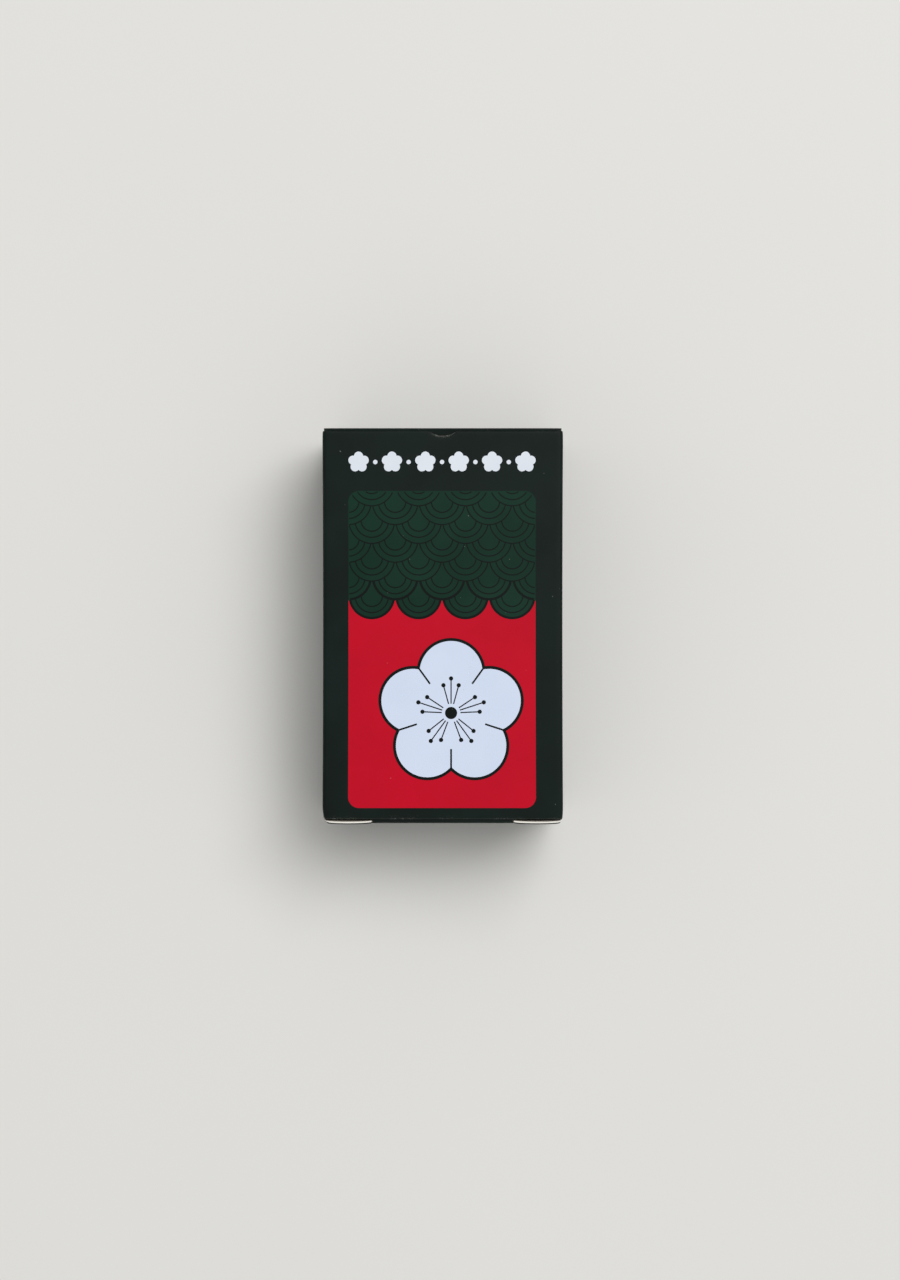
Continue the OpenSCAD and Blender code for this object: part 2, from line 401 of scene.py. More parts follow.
def shown(tree):
    """1 for rays from the camera, from gloss and through clear things, and 0 for the light itself."""
    kinds = "Camera", "Glossy", "Transmission"
    camera, gloss, clear = (Value(tree).add("LightPath", {}, output=f"Is {kind} Ray") for kind in kinds)
    return camera.calc("MAXIMUM", gloss).calc("MAXIMUM", clear)


# Finishes: sizes of their noise, the spans of it over which a mark sets in, and how much each mark tells
MIDDLE_SPAN = 0.3, 0.7
CLOUD = 9 * MM
RIPPLE = 1.6 * MM
FILM_GRAIN = 0.11 * MM
WORN_PATCH, WORN_SPAN = 4 * MM, (0.45, 0.60)
CHIP, CHIP_SPAN = 0.16 * MM, (0.50, 0.66)
SPECK, SPECK_SPAN = 0.55 * MM, (0.80, 0.84)
CHIP_PALE, SPECK_PALE, SCUFF_PALE = 0.35, 0.30, 0.08
SATIN, GRAIN_ROUGH, CLOUD_ROUGH, CHIP_ROUGH = 0.36, 0.06, 0.05, 0.25
GRAIN_RELIEF, FILM_RELIEF = 0.35, 0.0045 * MM
FILM_SHINE = 0.07
FIBRE_W, FIBRE_STRETCH, FIBRE_SPAN = 0.12 * MM, 9, (0.25, 0.75)
FLECK, FLECK_SPAN = 0.45 * MM, (0.66, 0.74)
FIBRE_DARK, FLECK_DARK = 0.55, 0.35
FIBRE_ROUGH = 0.1
FLECK_RELIEF, FIBRE_RELIEF = 0.3, 0.02 * MM
FIBRE = srgb(196, 193, 184)


def laminate(name, ink, drift):
    """Ink under a satin film: the ink drifts a little, the film has a fine grain, and worn print shows
    fibre, which round the carton's notch and along its bottom rim is also a painted highlight.
    """

    def paint(place):
        cloud = place.noise(CLOUD, 3.0).above(*MIDDLE_SPAN)
        grain = place.noise(FILM_GRAIN)
        # How worn a point is pales the ink towards fibre; round the notch and along the bottom rim this
        # paling is also a painted highlight.
        worn_and_highlit = place.add("Attribute", {}, output="Fac", attribute_name="wear")
        patches = place.noise(WORN_PATCH).above(*WORN_SPAN)
        chips = worn_and_highlit * patches * place.noise(CHIP, 4.0).above(*CHIP_SPAN)
        specks = place.noise(SPECK, 1.0).above(*SPECK_SPAN)
        bare_and_highlit = CHIP_PALE * chips + SPECK_PALE * specks + SCUFF_PALE * worn_and_highlit * worn_and_highlit
        tone = bare_and_highlit.between(cloud.between(ink, drift), FIBRE)
        rough = SATIN + GRAIN_ROUGH * grain + CLOUD_ROUGH * cloud + CHIP_ROUGH * chips
        return tone, rough, GRAIN_RELIEF * grain + place.noise(RIPPLE), FILM_RELIEF

    return finish(name, paint, Specular_IOR_Level=FILM_SHINE)


def uncoated(name, pale, dark, rough):
    """Bare board: pressed fibres drawn out both ways, with darker flecks and a soft uneven face."""

    def paint(place):
        fibres = place.crossed(FIBRE_W, 3.0, FIBRE_STRETCH)
        flecks = place.noise(FLECK).above(*FLECK_SPAN)
        tone = (FIBRE_DARK * fibres.above(*FIBRE_SPAN) + FLECK_DARK * flecks).between(pale, dark)
        return tone, rough + FIBRE_ROUGH * fibres, fibres + FLECK_RELIEF * flecks, FIBRE_RELIEF

    return finish(name, paint)


black_print = laminate("black_print", srgb(13, 23, 20), srgb(17, 29, 26))
red_ink = laminate("red_ink", srgb(196, 9, 38), srgb(189, 9, 36))
green_ink = laminate("green_ink", srgb(12, 43, 32), srgb(17, 49, 37))
line_ink = laminate("line_ink", srgb(8, 15, 13), srgb(10, 18, 16))
pale_ink = laminate("pale_ink", srgb(214, 224, 244), srgb(208, 220, 240))
white_ink = laminate("white_ink", srgb(226, 232, 240), srgb(220, 227, 236))
lining = uncoated("board_lining", srgb(222, 218, 208), srgb(186, 180, 168), rough=0.78)
raw_edge = uncoated("raw_board_edge", srgb(245, 242, 234), srgb(214, 208, 196), rough=0.82)
BOARD_FINISHES = [black_print, lining, raw_edge]

# The sleeve: front, sides, back and glue flap as one folded board
FRONT_FOLD_SHARE = 0.99
BACK_FOLD_SHARE = 0.7
GLUE_COLUMNS = FOLD_STEPS + 1 + GLUE_STEPS


def front_at(x, y, lift=0.0):
    """A place on the front face: sides drawn in and the middle crowned by parabolas, plus a lift off it."""
    bow = dome(y / HALF_H)
    crown = CROWN * bow * dome(x / FLAT_X)
    return np.stack([x * (1 - PINCH / HALF_W * bow), y, DEPTH + crown + lift], -1)


def fold_arc(x, z, first):
    """Places round a long fold and the directions outwards, over a quarter turn from a first angle."""
    angle = first + QUARTER * evenly(FOLD_STEPS)
    out = np.stack([np.cos(angle), np.sin(angle)], -1)
    return np.array([x, z]) + FOLD_R * out, out


def flat_run(start, end, out, places):
    """Places on a flat panel from start to end at shares of the way, all with one direction outwards."""
    run = np.array(start) + places[:, None] * (np.array(end) - np.array(start))
    return run, np.broadcast_to(np.array(out, float), run.shape)


def sleeve_path():
    """The outline round the carton and its directions outwards, from the right side to the glue flap."""
    notch = 0.5 + np.linspace(-0.5, 0.5, NOTCH_STEPS + 1) * NOTCH_W / (2 * FLAT_X)
    front = np.unique(np.concatenate([evenly(FRONT_STEPS), notch]))[1:-1]
    wall = spaced(0.0, 1.0, EDGE_SHARE, WALL_SHARE)
    low, high, glue_x = FOLD_R, DEPTH - FOLD_R, SEAM_X - FOLD_R
    runs = [
        flat_run([HALF_W, 0], [HALF_W, high], [1, 0], wall),
        fold_arc(FLAT_X, high, 0),
        flat_run([FLAT_X, DEPTH], [-FLAT_X, DEPTH], [0, 1], front),
        fold_arc(-FLAT_X, high, QUARTER),
        flat_run([-HALF_W, high], [-HALF_W, low], [-1, 0], wall),
        fold_arc(-FLAT_X, low, 2 * QUARTER),
        flat_run([-FLAT_X, 0], [glue_x, 0], [0, -1], evenly(BACK_STEPS)[1:]),
        fold_arc(glue_x, low, 3 * QUARTER),
        flat_run([SEAM_X, low], [SEAM_X, back_high[2]], [1, 0], evenly(GLUE_STEPS)[1:]),
    ]
    return [np.concatenate(parts) for parts in zip(*runs)]


def notch_depth(x):
    """How far the half-moon notch cuts into the front panel's top edge: a circle's arc below its chord."""
    radius = (NOTCH_W**2 / 4 + NOTCH_D**2) / (2 * NOTCH_D)
    return np.clip(np.sqrt(np.clip(radius**2 - x**2, 0, None)) - (radius - NOTCH_D), 0, None)


def sleeve_ends(x, z):
    """Low and high end along Y of each column.

    Columns are long at the front and back with most of their folds, short at the sides, and sloped by a
    straight line on the glue flap.
    """
    low = np.full(len(x), -SIDE_END)
    high = np.full(len(x), SIDE_END)
    front = z > DEPTH - FOLD_R * FRONT_FOLD_SHARE
    low[front] = front_low[1]
    high[front] = front_high[1] - notch_depth(x[front])
    back = (z < FOLD_R * BACK_FOLD_SHARE) & (x < SEAM_X)
    low[back], high[back] = -back_high[1], back_high[1]
    glued = slice(-GLUE_COLUMNS, None)
    taper = GLUE_END - np.clip(z[glued] - FOLD_R, 0, None) * math.tan(GLUE_SLOPE)
    low[glued], high[glued] = -taper, taper
    return low, high


def nipped(places):
    """Draws the front's corners in and down, by squares of the nearness to end, side and front."""
    x, y, z = np.moveaxis(places, -1, 0)
    most = np.where(y > 0, NIP_TOP, np.where(x < 0, NIP_LEFT, NIP_RIGHT))
    ends, sides = near(HALF_H - np.abs(y), NIP_REACH), near(HALF_W - np.abs(x), NIP_REACH)
    nip = most * ends * sides * near(DEPTH - z, NIP_DEPTH)
    return places - nip[..., None] * np.stack([np.sign(x), np.zeros_like(x), np.full_like(x, NIP_DROP)], -1)


def sleeve():
    """The board's outline round the carton, carried along it between each column's own ends.

    The inner face is the outer one moved in by the board's thickness. Cut ends roll in and pale by squares
    of the nearness to the end: worn print at the top, worn print and a painted highlight of the rim along
    the bottom, and a stronger painted highlight round the notch. A fold wears by the square of the smaller
    part of its direction outwards, which is largest halfway round.
    """
    path, out = sleeve_path()
    low, high = sleeve_ends(path[:, 0], path[:, 1])
    y = spaced(low, high, SLEEVE_ROLL_W, BOARD_STEP)
    x, z = np.broadcast_to(path[:, :1], y.shape), path[:, 1:]
    end_gap = np.minimum(y - low[:, None], high[:, None] - y)
    drawn = front_at(x, y)
    crown = np.where(z > DEPTH - WELD, drawn[..., 2] - DEPTH, 0)
    face = nipped(np.stack([drawn[..., 0], y, z + crown], -1))
    normal = np.stack([out[:, 0], np.zeros(len(out)), out[:, 1]], -1)[:, None]
    rolled = SLEEVE_ROLL * near(end_gap, SLEEVE_ROLL_W)
    turned = np.abs(out).min(1)[:, None] * math.sqrt(2)
    notch = notch_depth(x) / NOTCH_D * (z > DEPTH - FOLD_R)
    # Round the notch this paints a highlight on the cut end; along the bottom end it is worn print plus a
    # painted highlight of the rim.
    most = np.where(y > 0, TOP_WEAR + (NOTCH_PAINTED_HIGHLIGHT - TOP_WEAR) * notch, BOTTOM_WEAR_AND_HIGHLIGHT)
    wear = FOLD_WEAR * turned**2 + most * near(end_gap, END_WEAR_W)
    patch = board_patch(face - rolled[..., None] * normal, face - BOARD * normal, wear=wear)
    made = piece("sleeve_board", [patch], BOARD_FINISHES)
    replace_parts(made, "front_panel", "back_panel", "left_side_panel", "right_side_panel")
    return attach(made, "sleeve")


# Lids and flaps
FLAP_BULGES, FLAP_RIMS = (BEAD, RAW, RAW, RAW), (FOLDED, CUT, CUT, CUT)
LID_BULGES, LID_RIMS = (RAW, RAW, BEAD, RAW), (CUT, CUT, FOLDED, CUT)


def flap_board(node, patch):
    """A lid's or flap's board in place of its solid, on that solid's own body."""
    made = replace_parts(piece(f"{node}_board", [patch], BOARD_FINISHES), node)
    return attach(made, node)


def lid(node, side, shoulders):
    """A lid at one end: columns across, from its crease up to its free edge, bowed out by a parabola.

    With shoulders, the edge stands up to the front face beside the lock, with a circle's arc as its outer
    corner, and leans out with the square of the height. Cut edges roll in by the square of the nearness to
    them, less and less towards a crease.
    """
    x = spaced(-LID_HALF_W, LID_HALF_W, SHOULDER_ROUND, LID_STEP)
    if shoulders:
        step = np.array([-SLIVER, SLIVER])
        x = np.sort(np.concatenate([x, -LOCK_HALF + step, LOCK_HALF + step]))
    x = x[:, None]
    side_gap = LID_HALF_W - np.abs(x)
    stands = shoulders & (np.abs(x) > LOCK_HALF)
    tall = rounded(DEPTH, side_gap, SHOULDER_ROUND)
    top = np.where(stands, tall, LID_CREASE_Z)
    inner_top = np.where(stands, tall, LID_CREASE_Z - CREASE_BEVEL)
    share = spaced(0.0, 1.0, LID_EDGE_SHARE, STEP_SHARE)
    z = LID_LOW_Z + share * (top - LID_LOW_Z)
    inner_z = LID_LOW_Z + share * (inner_top - LID_LOW_Z)
    bow = LID_BOW * dome((z - DEPTH / 2) / (DEPTH / 2 - CREASE_R)) * (1 - (x / LID_HALF_W) ** 2)
    across = np.clip((np.abs(x) - LOCK_HALF) / (LID_HALF_W - LOCK_HALF), 0, 1)
    height = np.clip((z - LID_CREASE_Z) / FLARE_H + 1, 0, None)
    reach = bow + FLARE * shoulders * height**2 * np.sqrt(np.sin(np.pi * across))
    near_cut = near(np.where(stands, np.minimum(side_gap, top - z), side_gap), LID_ROLL_W)
    crease_gap = z - LID_LOW_Z if shoulders else np.minimum(z - LID_LOW_Z, LID_CREASE_Z - z)
    rolled = LID_ROLL * near_cut * np.clip(crease_gap / SKIN_LAP, 0, 1)
    wide = np.broadcast_to(x, z.shape)
    outer = np.stack([wide, side * (HALF_H + reach - rolled), z], -1)
    inner = np.stack([wide, side * (HALF_H - BOARD + reach), inner_z], -1)
    patch = board_patch(nipped(outer), nipped(inner), LID_BULGES, LID_RIMS, wear=LID_WEAR * near_cut)
    return flap_board(node, patch)


def tuck_flap(node, axis, side, root_half):
    """A tuck flap: rows along it from its crease, each between its own half widths.

    The half width is the root's up to the ears, where a wider root slopes in under the front panel and a
    narrower one steps out to the flap's, and it falls at the tip by a circle's arc.
    """
    half_w = corners(node)[1][0]
    along = np.concatenate([[0, ROOT_L, EAR_L - SLIVER], spaced(EAR_L, TUCK_L, FLAP_EDGE, BOARD_STEP)])
    root = np.interp(along, [ROOT_L, EAR_L], [root_half, min(root_half, half_w)])
    half = np.where(along < EAR_L, root, rounded(half_w, TUCK_L - along, TUCK_ROUND))[:, None]
    along = along[:, None]
    x = half * spaced(-1.0, 1.0, EDGE_SHARE, STEP_SHARE)
    down = np.array([0, -side * math.cos(TUCK_LEAN), -math.sin(TUCK_LEAN)])
    out = np.array([0, -side * math.sin(TUCK_LEAN), math.cos(TUCK_LEAN)])
    middle = axis + along[..., None] * down + x[..., None] * np.array(WIDE)
    wear = FLAP_WEAR * near(np.minimum(half - np.abs(x), TUCK_L - along), FLAP_WEAR_W)
    outer, inner = middle + CREASE_R * out, middle - CREASE_R * out
    return flap_board(node, board_patch(outer, inner, FLAP_BULGES, FLAP_RIMS, wear=wear))


def round_corner(along, length, root, slope, radius):
    """The edge of a flap that rises by a slope and turns into its tip by an arc of a circle, as a height.

    The circle touches the sloped line and the tip's line, so its centre lies a radius in from both.
    """
    centre = length - radius
    height = root + centre * math.tan(slope) + radius / math.cos(slope)
    touch = centre + radius * math.sin(slope)
    arc = height - np.sqrt(np.clip(radius**2 - (along - centre) ** 2, 0, None))
    return np.where(along > touch, arc, root + along * math.tan(slope))


def dust_flap(node, axis, side, across):
    """A dust flap: rows along it from its crease, each between two edges that round into its tip."""
    low, high = corners(node)
    length = high[0] - low[0] - CREASE_R
    along = np.concatenate([[0], spaced(FLAP_EDGE, length, FLAP_EDGE, BOARD_STEP)])
    bottom = round_corner(along, length, low[2], DUST_BACK_SLOPE, DUST_ROUND)
    top = -round_corner(along, length, -high[2], DUST_FRONT_SLOPE, DUST_ROUND)
    z = bottom[:, None] + spaced(0.0, 1.0, EDGE_SHARE, STEP_SHARE) * (top - bottom)[:, None]
    x = np.broadcast_to(axis[0] - across * along[:, None], z.shape)
    outer = np.stack([x, np.full(z.shape, axis[1] + side * CREASE_R), z], -1)
    inner = outer - side * BOARD * np.array([0, 1, 0])
    return flap_board(node, board_patch(nipped(outer), nipped(inner), FLAP_BULGES, FLAP_RIMS))


def crease(name, parent, child, axis, parent_out, travel, turn, along, half_l, child_lap=SKIN_LAP):
    """The printed face over a crease: flat on the parent, an arc round the crease line, flat on the child.

    The arc is the cosine of an angle times the parent's direction outwards plus its sine times the way over
    the crease, and the profile is carried along the crease. Its border sinks into the board.
    """
    parent_out, travel, along = (np.array(way, float) for way in (parent_out, travel, along))
    child_out = math.cos(turn) * parent_out + math.sin(turn) * travel
    child_travel = math.cos(turn) * travel - math.sin(turn) * parent_out
    angle = turn * evenly(ARC_STEPS)[:, None]
    arc = np.cos(angle) * parent_out + np.sin(angle) * travel
    laps = evenly(LAP_STEPS)[1:, None]
    turned = np.concatenate([np.tile(parent_out, (LAP_STEPS, 1)), arc, np.tile(child_out, (LAP_STEPS, 1))])
    before, after = -SKIN_LAP * laps[::-1] * travel, child_lap * laps * child_travel
    flats = np.concatenate([before, np.zeros_like(arc), after])
    places = axis + half_l * np.linspace(-1, 1, LINE_STEPS + 1)[:, None] * along
    lift = np.full((len(turned), len(places), 1), SKIN_LIFT)
    lift[[0, -1]] = -SKIN_ROOT
    lift[:, [0, -1]] = -SKIN_ROOT
    outer = places + flats[:, None] + (CREASE_R + lift) * turned[:, None]
    inner = outer - SKIN_T * turned[:, None]
    wear = np.zeros(outer.shape[:2])
    wear[LAP_STEPS:-LAP_STEPS] = CREASE_WEAR * np.sin(np.pi * evenly(ARC_STEPS))[:, None]
    made = piece(name, [film_patch(nipped(outer), nipped(inner), OUTSIDE, wear)], BOARD_FINISHES)
    start, end = axis + CREASE_R * parent_out, axis + CREASE_R * child_out
    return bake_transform(made, parent, child, tuple(start), tuple(end))


def closures():
    """Both ends: a lid with its tuck flap, two dust flaps and the creases between them."""
    for end, node, side in (("top", "top_lid", 1), ("bottom", "bottom_closure", -1)):
        locked = end == "bottom"
        root_half = LOCK_HALF - SLIT if locked else LID_HALF_W
        lap = SKIN_LAP if locked else ROOT_L
        outwards = (0, side, 0)
        tuck, tuck_line = f"{end}_tuck_flap", f"{end}_tuck_crease"
        hinge_at, tuck_at = joint_at[f"{node}_hinge"], joint_at[tuck_line]
        tuck_turn = QUARTER + TUCK_LEAN
        lid(node, side, locked)
        tuck_flap(tuck, tuck_at, side, root_half)
        crease(f"{end}_lid_crease", "sleeve", node, hinge_at, DOWN, outwards, QUARTER, WIDE, LID_HALF_W)
        crease(tuck_line, node, tuck, tuck_at, outwards, UP, tuck_turn, WIDE, root_half, lap)
        for hand, across in (("left", -1), ("right", 1)):
            flap, line = f"{end}_dust_flap_{hand}", f"{end}_dust_crease_{hand}"
            low, high = corners(flap)
            middle, half_l = (low[2] + high[2]) / 2, (high[2] - low[2]) / 2
            line_at = np.array([*joint_at[line][:2], middle])
            dust_flap(flap, joint_at[line], side, across)
            crease(line, "sleeve", flap, line_at, (across, 0, 0), outwards, QUARTER, UP, half_l)


# The print on the front face, as films of ink in a few layers whose rims are let into the board
FILM_STEP = 0.006 * MM
FILM_ROOT = 0.02 * MM
BASE_LAYER, SHAPE_LAYER, INNER_LAYER, LINE_LAYER, DOT_LAYER = range(1, 6)
RED, GREEN, LINE, PALE, WHITE = range(5)
INKS = [red_ink, green_ink, line_ink, pale_ink, white_ink]
LINE_W = 0.17 * MM
OUTLINE_STEP = 0.6 * MM

# The panel and its canopy of hanging scales
PANEL_X = -0.10 * MM
PANEL_Y = -3.42 * MM
PANEL_HALF_W = 13.46 * MM
PANEL_HALF_H = 22.68 * MM
PANEL_ROUND = 1.57 * MM
PANEL_RINGS = 30
CORNER_POINTS = 12
CANOPY_LOW = 0.9 * MM
SCALES = 4
SCALE_R = PANEL_HALF_W / SCALES
SCALE_ROWS = 7
SCALE_PITCH = 0.8 * SCALE_R
SCALE_RINGS = (1.0, 0.74, 0.48)
HANGING_ROWS = 2
HANGING_LINE_W = 0.34 * MM
SWEEP_POINTS = 40
RING_POINTS = 61
FEWEST_POINTS = 3
GROUND_STEPS = 24
COLUMN_GAP = 1e-3 * MM

# The great blossom, its parts as shares of its radius: petals, heart, lines between petals and stamens
PETALS = 5
SECTOR = FULL / PETALS
PETAL_SHARE = 0.44
BLOSSOM_AT = np.array([1.2, -12.5]) * MM
BLOSSOM_R = 10.3 * MM
BLOSSOM_LINE_W = 0.43 * MM
BLOSSOM_POINTS = 240
BLOSSOM_RINGS = 12
HEART_R = 0.085 * BLOSSOM_R
HEART_RINGS = 2
PETAL_LINE = 0.50, 0.80
PETAL_LINE_W = 1.5 * LINE_W
STAMEN_ROOT = 0.13
STAMENS = ((-0.27, 0.40), (0.0, 0.48), (0.27, 0.40))
STAMEN_DOT_R = 0.030 * BLOSSOM_R
STAMEN_DOT_POINTS = 5
STAMEN_DOT_RINGS = 1
RAY_POINTS = 9

# The row of small blossoms and dots over the panel
HEADER_Y = 23.4 * MM
HEADER_INSET = 1.5 * MM
HEADER_COUNT = 11
HEADER_RINGS = 2
SMALL_R = 1.5 * MM
SMALL_POINTS = 100
DOT_R = 0.32 * MM
DOT_POINTS = 6


def star_film(centre, outline, layer, slot, rings):
    """Ink over a star-shaped outline: the centre plus shares of it, from the middle out, closed below."""
    shares = np.concatenate([evenly(rings), [1, 0]])
    lifts = np.concatenate([np.full(rings + 1, layer * FILM_STEP), [-FILM_ROOT, -FILM_ROOT]])
    flat = np.array(centre) + shares[:, None, None] * outline
    points = front_at(flat[..., 0], flat[..., 1], lifts[:, None])
    index = np.arange(points.shape[0] * points.shape[1]).reshape(points.shape[:2])
    faces = grid_faces(np.concatenate([index, index[:, :1]], 1))
    return points.reshape(-1, 3), faces, np.full(len(faces), slot), np.zeros(index.size)


def grid_film(flat, layer, slot):
    """Ink over a grid of places on the front face, from its layer's height down into the board."""
    outer = front_at(flat[..., 0], flat[..., 1], layer * FILM_STEP)
    inner = front_at(flat[..., 0], flat[..., 1], -FILM_ROOT)
    return film_patch(outer, inner, slot)


def stroke(path, width, layer, slot):
    """A line of ink: a path, moved half its width to either side at right angles to its run."""
    run = unit(np.gradient(path, axis=0))
    sideways = np.stack([-run[:, 1], run[:, 0]], -1)
    halves = np.array([-0.5, 0.5])[:, None] * width
    return grid_film(path[:, None] + sideways[:, None] * halves, layer, slot)


def ray(centre, angle, first, last):
    """Places on a straight line from a centre at an angle, between two distances from it."""
    return centre + np.linspace(first, last, RAY_POINTS)[:, None] * [math.cos(angle), math.sin(angle)]


def filled_in(outline, step):
    """A closed outline with more points on its straight runs, at most a step apart."""
    closed = np.concatenate([outline, outline[:1]])
    length = np.concatenate([[0], np.cumsum(np.linalg.norm(np.diff(closed, axis=0), axis=1))])
    even = length[-1] * evenly(int(length[-1] / step) + 1)
    places = np.unique(np.concatenate([length, even]).round(DECIMALS))[:-1]
    return np.stack([np.interp(places, length, closed[:, axis]) for axis in (0, 1)], -1)


def rounded_box(half_w, half_h, radius, points):
    """Outline of a box with round corners: quarter circles about the corners' centres, joined straight."""
    angle = np.linspace(0, QUARTER, points) + QUARTER * np.arange(4)[:, None]
    centre = np.array([[1, 1], [-1, 1], [-1, -1], [1, -1]]) * (half_w - radius, half_h - radius)
    arcs = centre[:, None] + radius * np.stack([np.cos(angle), np.sin(angle)], -1)
    return filled_in(arcs.reshape(-1, 2), OUTLINE_STEP)


def dot(radius, points):
    """Outline of a round dot: a box that is all corners."""
    return rounded_box(radius, radius, radius, points)


def blossom(radius, grow, points):
    """Outline of a blossom of round petals, each a circle's arc, grown outwards evenly, with one petal up.

    In each petal's sector the distance from the middle is the petal centre's distance times the cosine of
    the angle from the petal's axis, plus the side left of a right triangle on the petal's radius.
    """
    petal = PETAL_SHARE * radius
    off = radius - petal
    angle = np.linspace(0, FULL, points, endpoint=False)
    apart = (angle + SECTOR / 2) % SECTOR - SECTOR / 2
    reach = off * np.cos(apart) + np.sqrt((petal + grow) ** 2 - (off * np.sin(apart)) ** 2)
    return reach[:, None] * np.stack([np.cos(angle + QUARTER), np.sin(angle + QUARTER)], -1)


def scale_rows():
    """Each row of hanging scales: the height of its scales' middles, and their places across the panel.

    Every other row lies half a scale aside, with half a scale at either side of the panel.
    """
    for row in range(SCALE_ROWS):
        last = SCALES - 1 + row % 2
        yield CANOPY_LOW + SCALE_R + row * SCALE_PITCH, np.arange(-last, last + 1, 2) * SCALE_R


def hidden_angle(radius):
    """Angle below the level at which a ring of a scale comes out from under the row above it.

    The ring meets the circle of the scale above, half a scale aside and a pitch up, where the cosine of
    that angle plus the other scale's bearing is the ring's radius squared plus the pitch squared, over
    twice the radius times the other scale's distance.
    """
    away, bearing = math.hypot(SCALE_R, SCALE_PITCH), math.atan2(SCALE_PITCH, SCALE_R)
    meets = min(1.0, (radius**2 + SCALE_PITCH**2) / (2 * radius * away))
    return max(0.0, math.acos(meets) - bearing)


def in_panel(places, margin):
    """Whether places lie in the panel, a margin in from its edge: near enough to the box inside it."""
    over = np.abs(places - [PANEL_X, PANEL_Y]) - [PANEL_HALF_W - PANEL_ROUND, PANEL_HALF_H - PANEL_ROUND]
    return np.linalg.norm(np.clip(over, 0, None), axis=-1) < PANEL_ROUND - margin


def canopy_ground():
    """Green ink in columns, from the lowest scales' arcs up to the panel's top edge and round corners."""
    (low_level, low_scales), (next_level, next_scales), *_ = scale_rows()
    sweep = np.cos(np.linspace(0, np.pi, SWEEP_POINTS))
    arcs = (low_scales[:, None] + SCALE_R * sweep).ravel()
    bend = PANEL_HALF_W - PANEL_ROUND * (1 - sweep[:SWEEP_POINTS // 2])
    x = np.unique(np.concatenate([arcs, bend, -bend]).round(DECIMALS))
    x = x[np.concatenate([[True], np.diff(x) > COLUMN_GAP])]
    apart = x[:, None] - np.concatenate([low_scales, next_scales])
    level = np.repeat([low_level, next_level], [len(low_scales), len(next_scales)])
    hang = np.sqrt(np.clip(SCALE_R**2 - apart**2, 0, None))
    low = np.min(np.where(np.abs(apart) < SCALE_R, level - hang, next_level), 1)
    high = rounded(PANEL_Y + PANEL_HALF_H, PANEL_HALF_W - np.abs(x), PANEL_ROUND)
    y = low[:, None] + evenly(GROUND_STEPS) * (high - low)[:, None]
    flat = np.stack([np.broadcast_to(x[:, None], y.shape) + PANEL_X, y], -1)
    return grid_film(flat, SHAPE_LAYER, GREEN)


def scale_rings(row, level, middle):
    """The lines on one scale: arcs of circles below its middle, where they show under the row above."""
    for share in SCALE_RINGS:
        width = HANGING_LINE_W if share == SCALE_RINGS[0] and row < HANGING_ROWS else LINE_W
        radius = share * SCALE_R - width / 2
        hidden = hidden_angle(radius)
        first = hidden if middle < PANEL_HALF_W - SCALE_R / 2 else QUARTER
        last = np.pi - hidden if middle > SCALE_R / 2 - PANEL_HALF_W else QUARTER
        angle = np.linspace(first, last, RING_POINTS)
        ring = np.stack([np.cos(angle), -np.sin(angle)], -1) * radius + [PANEL_X + middle, level]
        ring = ring[in_panel(ring, width / 2)]
        if len(ring) >= FEWEST_POINTS:
            yield stroke(ring, width, INNER_LAYER, LINE)


def canopy():
    """A canopy of hanging scales: a green ground, and rings drawn on each scale."""
    films = [canopy_ground()]
    for row, (level, middles) in enumerate(scale_rows()):
        for middle in middles:
            films.extend(scale_rings(row, level, middle))
    return films


def great_blossom():
    """A pale blossom with a dark outline, lines between its petals and stamens that end in dots."""
    outline = blossom(BLOSSOM_R, BLOSSOM_LINE_W, BLOSSOM_POINTS)
    films = [
        star_film(BLOSSOM_AT, outline, SHAPE_LAYER, LINE, BLOSSOM_RINGS),
        star_film(BLOSSOM_AT, blossom(BLOSSOM_R, 0.0, BLOSSOM_POINTS), INNER_LAYER, PALE, BLOSSOM_RINGS),
        star_film(BLOSSOM_AT, dot(HEART_R, CORNER_POINTS), LINE_LAYER, LINE, HEART_RINGS),
    ]
    ends = [share * BLOSSOM_R for share in PETAL_LINE]
    for axis in QUARTER + SECTOR * np.arange(PETALS):
        between = ray(BLOSSOM_AT, axis + SECTOR / 2, *ends)
        films.append(stroke(between, PETAL_LINE_W, LINE_LAYER, LINE))
        for fan, reach in STAMENS:
            stamen = ray(BLOSSOM_AT, axis + fan, STAMEN_ROOT * BLOSSOM_R, reach * BLOSSOM_R)
            films.append(stroke(stamen, LINE_W, LINE_LAYER, LINE))
            tip = dot(STAMEN_DOT_R, STAMEN_DOT_POINTS)
            films.append(star_film(stamen[-1], tip, DOT_LAYER, LINE, STAMEN_DOT_RINGS))
    return films


def header_row():
    """A row of small white blossoms over the panel, with a dot between each two."""
    films = []
    places = np.linspace(-1, 1, HEADER_COUNT) * (PANEL_HALF_W - HEADER_INSET) + PANEL_X
    for count, x in enumerate(places):
        small = dot(DOT_R, DOT_POINTS) if count % 2 else blossom(SMALL_R, 0.0, SMALL_POINTS)
        films.append(star_film([x, HEADER_Y], small, BASE_LAYER, WHITE, HEADER_RINGS))
    return films


def front_print():
    """All the ink on the front face."""
    outline = rounded_box(PANEL_HALF_W, PANEL_HALF_H, PANEL_ROUND, CORNER_POINTS)
    panel = star_film([PANEL_X, PANEL_Y], outline, BASE_LAYER, RED, PANEL_RINGS)
    made = piece("front_print", [panel, *canopy(), *great_blossom(), *header_row()], INKS)
    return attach(made, "sleeve")


